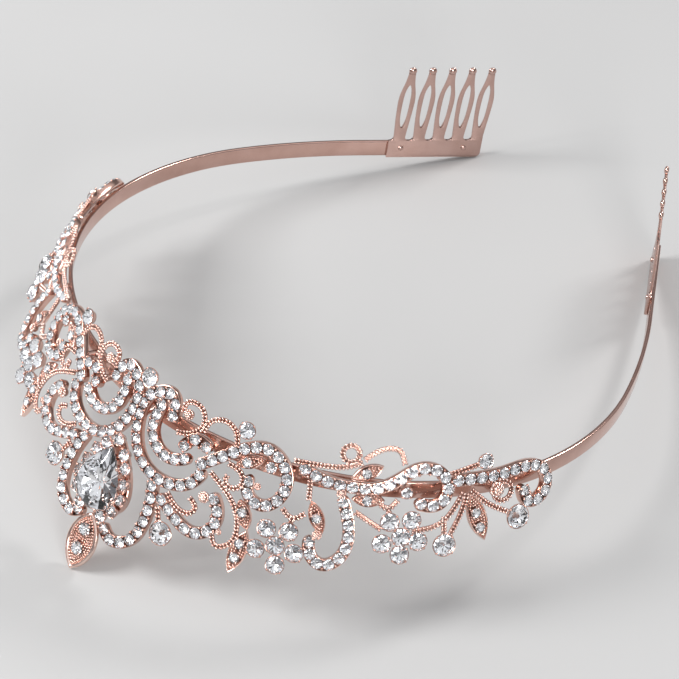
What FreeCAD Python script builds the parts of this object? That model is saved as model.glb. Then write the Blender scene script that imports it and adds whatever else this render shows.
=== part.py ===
"""Bridal tiara as a parametric FreeCAD document, in millimetres.

The tiara stands on the two ends of its headband and on the tip of its centre leaf, comb teeth up.
+Z is up, -Y is the decorated front, and the origin lies on the ground under the middle of the
bounding box.

Everything is drawn in the band's own plane first (x to the right, y to the back, height above the
band's lower edge) and then tilted by band_slope. The ornament hangs from the band's upper edge on a
leaning surface. A place on that surface is (s, t): s is measured along the band from the front
centre and t down the slope from the band's upper edge.
"""

import FreeCAD, Part
import os
from itertools import accumulate
from math import cos, dist, hypot, pi, radians, sin

from FreeCAD import Placement, Rotation, Vector

SIZES = {
    # headband: half of it is five arcs and a straight end
    "band_height": 4.6,
    "band_thickness": 1.0,
    "band_depth": 149.4,
    "band_slope": 11.45,
    "front_radius": 77.0,
    "cheek_radius": 68.5,
    "temple_radius": 62.0,
    "side_radius": 71.5,
    "rear_radius": 165.0,
    "arc_length": 33.8,
    "end_length": 34.4,
    "origin_back": 84.91,
    "origin_lift": 0.45,
    # hair combs
    "comb_teeth": 5,
    "comb_pitch": 5.53,
    "comb_thickness": 0.8,
    "comb_spine": 5.2,
    "comb_length": 26.7,
    "comb_corner": 1.3,
    "comb_height": 28.0,
    "comb_ball": 2.2,
    "comb_ball_thickness": 1.3,
    "comb_lean": 5.0,
    "tooth_margin": 1.65,
    "nub_diameter": 1.5,
    "nub_height": 0.4,
    "nub_rise": 2.9,
    # ornament surface
    "stand_off": 4.9,
    "stand_off_taper": 0.03,
    "lean": 23.4,
    # castings and wires
    "bar_width": 2.8,
    "bar_thickness": 1.4,
    "wire_diameter": 1.3,
    "leaf_thickness": 1.2,
    "leaf_rim": 0.6,
    "cup_depth": 1.2,
    "cup_foot": 0.7,
    "cup_mouth": 0.96,
    "tab_width": 1.5,
    "tab_height": 1.3,
    # round crystals
    "pave_diameter": 2.6,
    "pave_pitch": 2.8,
    "petal_diameter": 4.4,
    "leaf_crystal_diameter": 2.4,
    "centre_leaf_crystal_diameter": 3.2,
    "side_drop_diameter": 5.8,
    "flower_drop_diameter": 5.4,
    "end_drop_diameter": 5.9,
    "crown_diameter": 4.1,
    "end_crown_diameter": 3.7,
    "centre_crown_diameter": 4.6,
    # pear crystal and the halo around it
    "pear_width": 13.0,
    "pear_length": 16.2,
    "pear_place": 18.1,
    "pear_front": 3.0,
    "pear_crown": 1.8,
    "pear_table": 0.6,
    "collar_inset": 0.5,
    "halo_front": 1.6,
    "halo_border": 0.9,
}

# Right half of a comb tooth and of the slot in it: (half width, height above the band's lower edge).
TOOTH = [(1.52, 4.7), (1.6, 6.5), (1.85, 10.0), (2.2, 15.7), (2.15, 19.8), (1.3, 24.0), (0.9, 27.0)]
SLOT = [(0.15, 9.4), (0.55, 10.6), (1.0, 14.5), (1.0, 19.0), (0.45, 22.7), (0.1, 23.5)]

# Weld nubs: their places as shares of the comb's length, and their top as a share of their foot.
NUB_SHARES = (0.14, 0.81)
NUB_TOP = 0.5

# Routes of the castings' middle lines on the right half, as (s, t).
SCROLLS = {
    "inner_scroll": [
        [(8.9, -2.4), (8.4, -5.3), (6.4, -6.9), (3.7, -6.0), (1.7, -4.0), (0.9, -0.6), (1.5, 3.7),
         (4.1, 8.9), (8.2, 11.8), (13.2, 12.2), (17.6, 10.1), (19.1, 7.2)],
    ],
    "outer_scroll": [
        [(5.5, -3.5), (5.0, -0.4), (6.0, 3.8), (9.1, 6.4), (12.3, 6.6), (14.8, 5.2)],
        [(13.9, 2.5), (15.9, -0.1), (18.6, 0.6)],
        [(18.8, 4.6), (23.0, 0.8), (27.2, -2.6), (31.9, -4.0), (35.6, -2.0), (37.4, 1.8),
         (36.3, 6.8), (33.2, 8.9), (30.2, 7.5), (29.7, 4.4)],
    ],
    "lower_loop": [
        [(10.0, 14.6), (10.9, 18.6), (11.0, 23.3), (10.2, 27.6), (7.8, 30.6), (5.5, 31.2), (3.7, 29.7)],
    ],
    "leaf_scroll": [
        [(13.0, 16.4), (17.1, 19.0), (21.0, 20.4), (24.0, 18.9), (25.3, 15.6), (24.9, 13.2), (23.6, 11.1)],
    ],
    "hook_scroll": [
        [(44.4, 14.4), (45.0, 17.4), (47.4, 19.1), (50.0, 17.8), (51.6, 14.4), (51.6, 9.8), (49.7, 4.1)],
    ],
    "garland": [
        [(40.6, -1.9), (45.9, -0.1), (51.2, 0.4), (56.2, 0.1), (61.1, -2.4), (65.4, -4.8), (69.8, -4.0),
         (71.8, -0.5), (69.9, 3.5), (66.0, 3.2)],
    ],
    "end_scroll": [
        [(74.1, -1.7), (79.6, -1.7), (86.0, -1.8), (92.5, -1.8), (96.2, 0.5), (96.5, 3.7), (93.8, 6.6),
         (91.0, 6.4), (90.2, 3.6)],
    ],
}

# Beaded wires on the right half, as (s, t).
WIRES = [
    [(10.9, -4.6), (11.0, -6.9), (13.4, -7.7), (15.7, -6.4), (16.4, -3.7), (14.4, -0.9), (11.2, 0.3)],
    [(16.9, -2.6), (17.9, -5.4), (21.2, -6.8), (24.1, -5.2), (25.1, -2.3)],
    [(24.6, 2.1), (26.7, 2.6), (28.2, 4.1), (28.0, 6.3), (26.2, 7.2), (24.7, 6.1), (24.9, 4.9)],
    [(13.9, 14.3), (16.5, 16.3), (19.6, 16.4), (20.4, 14.7), (18.8, 13.1)],
    [(21.4, 5.6), (25.0, 8.0), (27.9, 10.8), (29.7, 15.1), (29.0, 19.8), (26.7, 21.2), (25.2, 18.8)],
    [(42.2, 0.6), (42.6, 4.7)],
    [(38.1, -3.2), (44.0, -3.5), (49.4, -4.2), (52.3, -5.4)],
    [(53.0, -6.4), (56.7, -9.0), (60.3, -8.9), (61.7, -6.0)],
    [(75.2, 1.3), (73.8, 3.7), (70.0, 8.1), (64.6, 9.4)],
    [(76.0, 1.6), (75.3, 4.3), (72.6, 10.5)],
    [(77.3, 0.9), (80.7, 4.3), (85.5, 7.4)],
    [(72.4, -3.4), (78.8, -4.9)],
    [(57.0, 3.3), (59.0, 4.4), (60.8, 2.6)],
    [(37.9, 8.3), (40.1, 9.8), (42.3, 8.3)],
    [(52.6, 6.0), (57.9, 9.2)],
    [(40.1, 9.6), (40.0, 11.2)],
    [(59.0, 4.2), (59.3, 5.3)],
    [(12.9, 18.6), (13.9, 21.3)],
    [(71.1, 6.6), (71.2, 10.4)],
]

# Wire rings and beaded domes on the right half, as (s, t, radius).
RINGS = [(49.7, -7.2, 1.9), (84.6, 2.3, 2.3)]
DOMES = [(12.6, -4.7, 1.3), (21.6, 11.4, 1.4), (45.6, 12.3, 1.2), (49.0, 2.0, 1.2), (82.9, 1.5, 1.9),
         (31.7, 4.8, 0.9), (26.5, 17.8, 0.8)]

# Leaves on the right half: stalk end, tip, width, and the places of their crystals.
LEAVES = [
    ((25.9, 1.7), (31.9, -1.5), 3.0, [(28.4, 0.3)]),
    ((28.8, 9.0), (31.9, 15.3), 3.6, [(30.1, 11.6)]),
    ((31.9, 15.3), (30.4, 26.2), 4.2, [(31.2, 18.7), (30.9, 22.2)]),
    ((43.1, 5.0), (46.6, 12.1), 3.5, [(44.9, 8.6)]),
    ((50.5, -1.3), (57.2, -5.2), 3.5, [(53.7, -3.2)]),
    ((51.3, 3.0), (58.2, 2.7), 3.4, [(54.5, 2.9)]),
    ((76.8, 1.4), (80.1, 13.1), 4.6, [(78.0, 6.2), (78.9, 9.7)]),
]
CENTRE_LEAF = ((0.0, 28.0), (0.0, 42.95), 8.6, [(0.0, 32.4), (0.0, 37.4)])

# Round crystals in cups, as places (s, t) under the name of their diameter.
ROUNDS = {
    "flower": {
        "petal_diameter": [
            (38.0, 16.9), (35.6, 13.5), (40.0, 13.0), (34.4, 18.7), (41.9, 17.6), (38.8, 21.2),
            (62.3, 10.9), (59.7, 7.5), (64.2, 7.0), (58.5, 12.6), (65.8, 11.9), (62.3, 15.0),
        ],
        "pave_diameter": [(33.5, -0.2), (62.7, 0.7)],
    },
    "drop": {
        "side_drop_diameter": [(15.3, 23.7)],
        "flower_drop_diameter": [(71.3, 13.0)],
        "end_drop_diameter": [(88.0, 9.2)],
    },
    "crown": {
        "crown_diameter": [(26.3, -6.6)],
        "end_crown_diameter": [(80.6, -5.4)],
    },
}
CENTRE_CROWN = (0.0, -7.5)

# Places (s, t) of the crystals around the right half of the pear, and of the solder tabs.
HALO = [(0.0, 8.5), (2.65, 11.0), (4.15, 13.7), (5.3, 17.3), (5.9, 20.8), (5.0, 24.2), (2.9, 26.9)]
TABS = [(1.2, 0.9), (14.2, 2.3), (22.4, 1.3), (37.2, 2.0), (48.5, 0.6), (62.0, 0.4), (86.0, 0.0)]

# A round crystal's section as (radius, height), both as shares of its radius.
CRYSTAL_PROFILE = [(0, 0), (0.72, 0), (1, 0.3), (1, 0.42), (0.6, 0.84), (0, 0.84)]

# The pear outline's half width is this share of pear_width times sin(turn) * sin(turn / 2).
PEAR_WIDEST = 0.65
PEAR_SAMPLES = 24
SECTION_STEP = 1.2
WIRE_SIDES = 8

doc = FreeCAD.newDocument("Tiara")
sheet = doc.addObject("Spreadsheet::Sheet", "Sizes")
for row, (alias, value) in enumerate(SIZES.items(), start=1):
    sheet.set(f"A{row}", alias)
    sheet.set(f"B{row}", str(value))
    sheet.setAlias(f"B{row}", alias)
doc.recompute()


def size(alias):
    """A driving dimension, read back from the sheet."""
    return float(sheet.get(alias))


TILT = Placement(
    Vector(0, size("origin_back"), size("origin_lift")), Rotation(Vector(1, 0, 0), -size("band_slope"))
)
RADII = [size(f"{place}_radius") for place in ("front", "cheek", "temple", "side", "rear")]


# --- where things are -----------------------------------------------------------------------------


def band_frame(s):
    """The band's mid-line s mm from the front centre: x, y and the heading to the right."""
    x, y, heading, left = 0.0, -size("band_depth"), 0.0, abs(s)
    for radius in RADII:
        step = min(left, size("arc_length"))
        turned = heading + step / radius
        x += radius * (sin(turned) - sin(heading))
        y += radius * (cos(heading) - cos(turned))
        heading = turned
        left -= step
    x += left * cos(heading)
    y += left * sin(heading)
    return (x, y, heading) if s >= 0 else (-x, y, -heading)


def band_point(s, out, height):
    """A point out mm outside the band's mid-line and height mm above its lower edge."""
    x, y, heading = band_frame(s)
    return Vector(x + out * sin(heading), y - out * cos(heading), height)


def on_ornament(s, t, proud=0.0):
    """A point of the ornament's surface, or proud mm in front of it."""
    lean = radians(size("lean"))
    out = size("stand_off") - size("stand_off_taper") * abs(s) + t * sin(lean) + proud * cos(lean)
    return band_point(s, out, size("band_height") - t * cos(lean) + proud * sin(lean))


def facing(s, t):
    """The direction that the ornament's surface faces."""
    return (on_ornament(s, t, 1.0) - on_ornament(s, t)).normalize()


def second_slopes(knots, values):
    """Second derivatives of the natural cubic spline through values at knots."""
    last = len(knots) - 1
    factor, target = [0.0] * (last + 1), [0.0] * (last + 1)
    for i in range(1, last):
        before, after = knots[i] - knots[i - 1], knots[i + 1] - knots[i]
        jump = (values[i + 1] - values[i]) / after - (values[i] - values[i - 1]) / before
        pivot = 2 * (before + after) - before * factor[i - 1]
        factor[i] = after / pivot
        target[i] = (6 * jump - before * target[i - 1]) / pivot
    slopes = [0.0] * (last + 1)
    for i in range(last - 1, 0, -1):
        slopes[i] = target[i] - factor[i] * slopes[i + 1]
    return slopes


def smooth(route, steps=12):
    """The natural cubic spline through a route's points, each span cut into steps."""
    knots = [0.0, *accumulate(dist(a, b) for a, b in zip(route, route[1:]))]
    tracks = []
    for values in zip(*route):
        bend = second_slopes(knots, values)
        track = [values[0]]
        for i in range(len(route) - 1):
            span = knots[i + 1] - knots[i]
            for k in range(1, steps + 1):
                b = k / steps
                a = 1 - b
                lift = (a**3 - a) * bend[i] + (b**3 - b) * bend[i + 1]
                track.append(a * values[i] + b * values[i + 1] + lift * span**2 / 6)
        tracks.append(track)
    return list(zip(*tracks))


def stations(route, spacing):
    """Places (s, t) along a route, evenly spaced in real distance, about spacing apart."""
    fine = smooth(route)
    points = [on_ornament(s, t) for s, t in fine]
    travelled = [0.0, *accumulate(a.distanceToPoint(b) for a, b in zip(points, points[1:]))]
    count = max(1, round(travelled[-1] / spacing))
    places, i = [fine[0]], 0
    for k in range(1, count):
        goal = travelled[-1] * k / count
        while travelled[i + 1] < goal:
            i += 1
        share = (goal - travelled[i]) / (travelled[i + 1] - travelled[i])
        places.append(tuple(a + share * (b - a) for a, b in zip(fine[i], fine[i + 1])))
    return [*places, fine[-1]]


# --- shapes that follow the ornament's surface ------------------------------------------------------


def swept(route, section):
    """A solid along a route: section lists (across, proud) corners."""
    places = stations(route, SECTION_STEP)
    points = [on_ornament(s, t) for s, t in places]
    wires = []
    for i, (s, t) in enumerate(places):
        ahead = points[min(i + 1, len(points) - 1)] - points[max(i - 1, 0)]
        normal = facing(s, t)
        across = ahead.cross(normal).normalize()
        corners = [points[i] + across * a + normal * b for a, b in section]
        wires.append(Part.makePolygon([*corners, corners[0]]))
    return Part.makeLoft(wires, True, False)


def bar(route):
    """A flat casting, square at its ends, that reaches half a crystal past the route's ends."""
    half, back = size("bar_width") / 2, -size("bar_thickness")
    return swept(lengthened(route, half), [(-half, 0), (half, 0), (half, back), (-half, back)])


def lengthened(route, extra):
    """The route with both its end points moved outwards by extra."""
    ends = []
    for end, inner in ((route[0], route[1]), (route[-1], route[-2])):
        grow = extra / dist(end, inner)
        ends.append(tuple(e + grow * (e - i) for e, i in zip(end, inner)))
    return [ends[0], *route[1:-1], ends[1]]


def wire(route):
    """A round wire whose middle lies on the ornament's surface."""
    radius = size("wire_diameter") / 2
    turns = [2 * pi * k / WIRE_SIDES for k in range(WIRE_SIDES)]
    return swept(route, [(radius * cos(turn), radius * sin(turn)) for turn in turns])


def stand(s, t, proud=0.0):
    """The Placement that turns +Z straight out of the ornament's surface at (s, t)."""
    heading = band_frame(s)[2]
    turn = Rotation(Vector(0, 0, 1), heading * 180 / pi) * Rotation(Vector(1, 0, 0), 90 - size("lean"))
    return Placement(on_ornament(s, t, proud), turn)


def standing(shape, s, t, proud=0.0):
    """A copy of a shape drawn about the origin, put on the ornament's surface."""
    placed = shape.copy()
    placed.Placement = stand(s, t, proud)
    return placed


def crystal(diameter):
    """A round flat-backed crystal: short foot, sloping crown and flat table."""
    radius = diameter / 2
    corners = [Vector(radius * r, 0, radius * h) for r, h in CRYSTAL_PROFILE]
    face = Part.Face(Part.makePolygon([*corners, corners[0]]))
    return face.revolve(Vector(0, 0, 0), Vector(0, 0, 1), 360)


def lens_outline(length, width, inset):
    """A pointed leaf outline along +Y from the origin, moved inwards by inset."""
    # two equal arcs that meet in a point at each end
    half, side = length / 2, width / 2
    radius = (half**2 + side**2) / (2 * side) - inset
    reach = (radius**2 - (radius - side + inset) ** 2) ** 0.5
    low, high = Vector(0, half - reach, 0), Vector(0, half + reach, 0)
    right, left = Vector(side - inset, half, 0), Vector(inset - side, half, 0)
    return Part.Wire([Part.Arc(low, right, high).toShape(), Part.Arc(high, left, low).toShape()])


def leaf(stalk, tip, width):
    """A leaf plate with a raised rim, from its stalk end to its tip."""
    start, end = on_ornament(*stalk), on_ornament(*tip)
    middle = ((stalk[0] + tip[0]) / 2, (stalk[1] + tip[1]) / 2)
    length, thickness, rim = start.distanceToPoint(end), size("leaf_thickness"), size("leaf_rim")
    plate = Part.Face(lens_outline(length, width, 0)).extrude(Vector(0, 0, thickness))
    hollow = Part.Face(lens_outline(length, width, rim)).extrude(Vector(0, 0, rim))
    hollow.translate(Vector(0, 0, thickness - rim))
    solid = plate.cut(hollow)
    along = (end - start).normalize()
    normal = facing(*middle)
    across = along.cross(normal).normalize()
    normal = across.cross(along).normalize()
    solid.Placement = Placement(start + normal * (rim - thickness), Rotation(across, along, normal, "ZYX"))
    return solid


def pear_outline(width, length):
    """A pear outline about the origin, point up (+Y), round end down."""
    corners = []
    for k in range(PEAR_SAMPLES + 1):
        turn = 2 * pi * k / PEAR_SAMPLES
        across = PEAR_WIDEST * width * sin(turn) * sin(turn / 2)
        corners.append(Vector(across, length / 2 * cos(turn), 0))
    curve = Part.BSplineCurve()
    curve.interpolate(corners)
    return Part.Wire(curve.toShape())


# --- document objects -------------------------------------------------------------------------------

nodes = []


def keep(obj, label):
    """Label a finished sub-part and list it for export."""
    obj.Label = label
    nodes.append(obj)
    return obj


def feature(label, solids):
    """A sub-part made of one or more solids drawn in the band's plane."""
    obj = doc.addObject("Part::Feature", label)
    obj.Shape = solids[0] if len(solids) == 1 else Part.makeCompound(solids)
    obj.Placement = TILT * obj.Placement
    return keep(obj, label)


def mirrored(source, label):
    """The left-hand twin of a right-hand sub-part."""
    twin = doc.addObject("Part::Mirroring", label)
    twin.Source = source
    twin.Normal = Vector(1, 0, 0)
    return keep(twin, label)


def pair(name, solids):
    """A right-hand sub-part and its left-hand twin."""
    mirrored(feature(f"{name}_right", solids), f"{name}_left")


def primitive(kind, label, place, **sizes):
    """A Part primitive in the band's plane whose properties follow expressions."""
    obj = doc.addObject(f"Part::{kind}", label)
    for name, expression in sizes.items():
        obj.setExpression(name, expression)
    obj.Placement = place
    return obj


def group(label, objects):
    """A sub-part that gathers objects drawn in the band's plane."""
    obj = doc.addObject("Part::Compound", label)
    obj.Links = objects
    obj.Placement = TILT
    return keep(obj, label)


def cup(label, s, t, diameter):
    """A cup under a round crystal, narrower at its back; diameter names a cell of the sheet."""
    return primitive(
        "Cone", label, stand(s, t, -size("cup_depth")),
        Radius1=f"Sizes.cup_foot * Sizes.{diameter} / 2",
        Radius2=f"Sizes.cup_mouth * Sizes.{diameter} / 2",
        Height="Sizes.cup_depth",
    )


def sketch_on(body, plane, name, lift=Placement()):
    """A sketch on one of the body's own origin planes."""
    sketch = body.newObject("Sketcher::SketchObject", name)
    origin_plane = next(f for f in body.Origin.OriginFeatures if f.Role == plane)
    sketch.AttachmentSupport = [(origin_plane, "")]
    sketch.MapMode = "FlatFace"
    sketch.AttachmentOffset = lift
    return sketch


def flat(point):
    """A band-plane point as a sketch point."""
    return Vector(point.x, point.y, 0)


def make_headband():
    """A flat strip on edge, padded up from the outline of its mid-line offset to both sides."""
    body = doc.addObject("PartDesign::Body", "headband")
    sketch = sketch_on(body, "XY_Plane", "band_outline")
    half = size("band_thickness") / 2
    ends = [size("arc_length") * k for k in range(len(RADII) + 1)]
    last = ends[-1] + size("end_length")
    for out in (-half, half):
        for start, end in zip(ends, ends[1:]):
            for side in (1, -1):
                arc = [flat(band_point(side * s, out, 0)) for s in (start, (start + end) / 2, end)]
                sketch.addGeometry(Part.Arc(*arc))
        for side in (1, -1):
            run = [flat(band_point(side * s, out, 0)) for s in (ends[-1], last)]
            sketch.addGeometry(Part.LineSegment(*run))
    for side in (1, -1):
        tip = [flat(band_point(side * last, out, 0)) for out in (-half, half)]
        sketch.addGeometry(Part.LineSegment(*tip))
    pad = body.newObject("PartDesign::Pad", "band_strip")
    pad.Profile = sketch
    pad.setExpression("Length", "Sizes.band_height")
    body.Placement = TILT
    keep(body, "headband")


def upright_outline(halves, middle):
    """Corners of a shape that is even about an upright line, drawn from the foot of the teeth."""
    foot = TOOTH[0][1]
    right = [Vector(middle + half, height - foot) for half, height in halves]
    left = [Vector(middle - half, height - foot) for half, height in reversed(halves)]
    return [*right, *left]


def draw_closed(sketch, corners):
    """Add a closed run of straight lines to a sketch."""
    for a, b in zip(corners, [*corners[1:], corners[0]]):
        sketch.addGeometry(Part.LineSegment(a, b))


def band_end():
    """The distance along the band from its front centre to either end."""
    return len(RADII) * size("arc_length") + size("end_length")


def make_comb():
    """The right-hand comb: a spine plate and a row of slotted teeth with ball tips.

    It is drawn from the band's end towards the front and padded inwards.
    """
    length, spine, corner = size("comb_length"), size("comb_spine"), size("comb_corner")
    body = doc.addObject("PartDesign::Body", "comb")

    spine_sketch = sketch_on(body, "XZ_Plane", "spine_outline")
    draw_closed(spine_sketch, [
        Vector(0, corner), Vector(corner, 0), Vector(length, 0), Vector(length, spine), Vector(0, spine),
    ])
    spine_pad = body.newObject("PartDesign::Pad", "spine_plate")
    spine_pad.Profile = spine_sketch
    spine_pad.setExpression("Length", "Sizes.comb_thickness")

    # the teeth lean inwards from their foot
    foot = TOOTH[0][1]
    lean = Placement(Vector(0, foot, 0), Rotation(Vector(1, 0, 0), size("comb_lean")))
    teeth_sketch = sketch_on(body, "XZ_Plane", "teeth_outline", lean)
    middles = [size("tooth_margin") + k * size("comb_pitch") for k in range(int(size("comb_teeth")))]
    for middle in middles:
        draw_closed(teeth_sketch, upright_outline(TOOTH, middle))
        draw_closed(teeth_sketch, upright_outline(SLOT, middle))
    teeth_pad = body.newObject("PartDesign::Pad", "teeth_plate")
    teeth_pad.Profile = teeth_sketch
    teeth_pad.setExpression("Length", "Sizes.comb_thickness")
    doc.recompute()
    half_sheet = size("comb_thickness") / 2
    for k, middle in enumerate(middles, start=1):
        ball = body.newObject("PartDesign::AdditiveEllipsoid", f"ball_tip_{k}")
        ball.setExpression("Radius1", "Sizes.comb_ball_thickness / 2")
        ball.setExpression("Radius2", "Sizes.comb_ball / 2")
        ball.setExpression("Radius3", "Sizes.comb_ball / 2")
        ball.AttachmentSupport = teeth_sketch
        ball.MapMode = "ObjectXY"
        ball.AttachmentOffset = Placement(Vector(middle, size("comb_height") - foot, half_sheet), Rotation())

    # inside face of the band's straight end, flush with the end
    start = band_point(band_end(), -size("band_thickness") / 2, 0)
    heading = band_frame(band_end())[2] + pi
    on_band = Placement(start, Rotation(Vector(0, 0, 1), heading * 180 / pi))
    body.Placement = TILT * on_band
    keep(body, "comb_right")
    mirrored(body, "comb_left")


def make_nubs():
    """Weld nubs that stand out of both combs' inner faces."""
    inner_face = -size("band_thickness") / 2 - size("comb_thickness")
    places = [band_end() - size("comb_length") * (1 - share) for share in NUB_SHARES]
    nubs = []
    for s in [*places, *(-s for s in places)]:
        inward = Rotation(Vector(0, 0, 1), band_frame(s)[2] * 180 / pi) * Rotation(Vector(1, 0, 0), -90)
        nubs.append(primitive(
            "Cone", f"nub_{len(nubs) + 1}",
            Placement(band_point(s, inner_face, size("nub_rise")), inward),
            Radius1="Sizes.nub_diameter / 2",
            Radius2=f"{NUB_TOP} * Sizes.nub_diameter / 2",
            Height="Sizes.nub_height",
        ))
    group("weld_nubs", nubs)


def make_tabs():
    """Small blocks between the band's outer face and the backs of the castings."""
    width, height, face = size("tab_width"), size("tab_height"), size("band_thickness") / 2
    tabs = []
    for s, t in TABS:
        x, y, heading = band_frame(s)
        back = on_ornament(s, t, -size("bar_thickness"))
        middle = min(back.z, size("band_height") - height / 2)
        reach = hypot(back.x - x, back.y - y) - face
        turn = Placement(Vector(x, y, 0), Rotation(Vector(0, 0, 1), heading * 180 / pi))
        corner = Placement(Vector(-width / 2, -face - reach, middle - height / 2), Rotation())
        block = primitive(
            "Box", f"tab_{len(tabs) + 1}", turn * corner, Length="Sizes.tab_width", Height="Sizes.tab_height"
        )
        block.Width = reach
        tabs.append(block)
    mirrored(group("solder_tabs_right", tabs), "solder_tabs_left")


def make_scrolls():
    """Castings set with a row of small crystals at an even pitch."""
    stone = crystal(size("pave_diameter"))
    for name, routes in SCROLLS.items():
        pair(name, [bar(route) for route in routes])
        places = [place for route in routes for place in stations(route, size("pave_pitch"))]
        pair(f"{name}_crystals", [standing(stone, s, t) for s, t in places])


def make_leaves():
    """Leaf plates and the small crystals in them."""
    stone = crystal(size("leaf_crystal_diameter"))
    pair("leaves", [leaf(stalk, tip, width) for stalk, tip, width, _ in LEAVES])
    pair("leaf_crystals", [standing(stone, s, t) for *_, places in LEAVES for s, t in places])


def make_cups():
    """Flowers, drops and raised crowns: round crystals, each in a cup of its own."""
    for name, sets in ROUNDS.items():
        rounds = [(s, t, diameter) for diameter, places in sets.items() for s, t in places]
        cups = [cup(f"{name}_cup_{k}", *spot) for k, spot in enumerate(rounds, start=1)]
        mirrored(group(f"{name}_cups_right", cups), f"{name}_cups_left")
        pair(f"{name}_crystals", [standing(crystal(size(diameter)), s, t) for s, t, diameter in rounds])
    s, t = CENTRE_CROWN
    centre_cup = cup("centre_crown_cup", s, t, "centre_crown_diameter")
    centre_cup.Placement = TILT * centre_cup.Placement
    keep(centre_cup, "centre_crown_cup")
    stone = crystal(size("centre_crown_diameter"))
    feature("centre_crown_crystal", [standing(stone, s, t)])


def make_wires():
    """Beaded wires, rings and beaded domes, here as plain round stock."""
    stock = doc.addObject("Part::Feature", "straight_wires")
    stock.Shape = Part.makeCompound([wire(route) for route in WIRES])
    parts = [stock]
    for k, (s, t, radius) in enumerate(RINGS, start=1):
        ring = primitive("Torus", f"ring_{k}", stand(s, t), Radius2="Sizes.wire_diameter / 2")
        ring.Radius1 = radius
        parts.append(ring)
    for k, (s, t, radius) in enumerate(DOMES, start=1):
        dome = primitive("Sphere", f"dome_{k}", stand(s, t))
        dome.Radius = radius
        parts.append(dome)
    mirrored(group("beaded_wires_right", parts), "beaded_wires_left")


def make_centre():
    """The pear crystal, its setting, the halo around it and the leaf below."""
    width, length, place = size("pear_width"), size("pear_length"), size("pear_place")
    halo_front, pear_front, crown = size("halo_front"), size("pear_front"), size("pear_crown")
    border, inset, back = size("halo_border"), size("collar_inset"), size("bar_thickness")

    rim = pear_outline(width + 2 * border, length + 2 * border)
    plate = Part.Face(rim).extrude(Vector(0, 0, back + halo_front))
    plate.translate(Vector(0, 0, -back))
    collar = pear_outline(width - 2 * inset, length - 2 * inset)
    wall = Part.Face(collar).extrude(Vector(0, 0, pear_front - halo_front))
    wall.translate(Vector(0, 0, halo_front))
    feature("pear_setting", [standing(plate.fuse(wall), 0, place)])

    girdle = pear_outline(width, length)
    table = pear_outline(size("pear_table") * width, size("pear_table") * length)
    table.translate(Vector(0, 0, crown))
    feature("pear_crystal", [standing(Part.makeLoft([girdle, table], True, True), 0, place, pear_front)])

    stone = crystal(size("pave_diameter"))
    both_sides = HALO + [(-s, t) for s, t in HALO if s > 0]
    straight_out = facing(0, place)
    halo = []
    for s, t in both_sides:
        seat = standing(stone, 0, place, halo_front)
        offset = on_ornament(s, t) - on_ornament(0, place)
        offset -= straight_out * offset.dot(straight_out)
        seat.translate(offset)
        halo.append(seat)
    feature("halo_crystals", halo)

    stalk, tip, leaf_width, places = CENTRE_LEAF
    feature("centre_leaf", [leaf(stalk, tip, leaf_width)])
    stone = crystal(size("centre_leaf_crystal_diameter"))
    feature("centre_leaf_crystals", [standing(stone, s, t) for s, t in places])


def check(obj):
    """Stop if an object failed to build."""
    if "Invalid" in obj.State or "Error" in obj.State:
        raise RuntimeError(f"{obj.Label} failed: {obj.State}")
    if obj in nodes and (obj.Shape.isNull() or not obj.Shape.isValid()):
        raise RuntimeError(f"{obj.Label} has no valid shape")


def main():
    make_headband()
    make_comb()
    make_nubs()
    make_tabs()
    make_scrolls()
    make_leaves()
    make_cups()
    make_wires()
    make_centre()
    doc.recompute()
    for obj in doc.Objects:
        check(obj)
    os.makedirs("parts", exist_ok=True)
    for obj in nodes:
        obj.Shape.exportStep(f"parts/{obj.Label}.step")


main()
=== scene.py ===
"""Looks of the bridal tiara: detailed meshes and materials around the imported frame.

Lengths are millimetres in the band's own plane (x to the right, y to the back, height above the
band's lower edge) until a mesh is made, which tilts them onto the ground and turns them into
metres. A place on the ornament is (s, t): s runs along the band from its front centre, and t down
the leaning surface from the band's upper edge.
"""

from itertools import accumulate
from math import cos, dist, hypot, pi, radians, sin, sqrt

import bmesh
import bpy
import numpy as np
from mathutils import Matrix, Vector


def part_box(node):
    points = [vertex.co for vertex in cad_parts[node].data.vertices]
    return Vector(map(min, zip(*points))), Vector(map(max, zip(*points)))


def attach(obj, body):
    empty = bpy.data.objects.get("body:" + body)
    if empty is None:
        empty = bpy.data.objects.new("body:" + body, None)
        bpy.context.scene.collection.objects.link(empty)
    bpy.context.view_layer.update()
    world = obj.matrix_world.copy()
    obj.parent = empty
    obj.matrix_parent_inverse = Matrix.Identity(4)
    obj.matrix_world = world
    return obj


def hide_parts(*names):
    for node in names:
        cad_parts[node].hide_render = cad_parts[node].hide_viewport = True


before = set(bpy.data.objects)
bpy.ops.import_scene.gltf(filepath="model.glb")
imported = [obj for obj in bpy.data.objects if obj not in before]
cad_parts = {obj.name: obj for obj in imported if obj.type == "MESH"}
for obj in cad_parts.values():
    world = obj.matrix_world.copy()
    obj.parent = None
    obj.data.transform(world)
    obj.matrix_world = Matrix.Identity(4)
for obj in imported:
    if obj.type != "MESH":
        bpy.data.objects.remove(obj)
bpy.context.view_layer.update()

MM = 0.001

# --- sizes, as in the CAD model ---------------------------------------------------------------------

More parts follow.
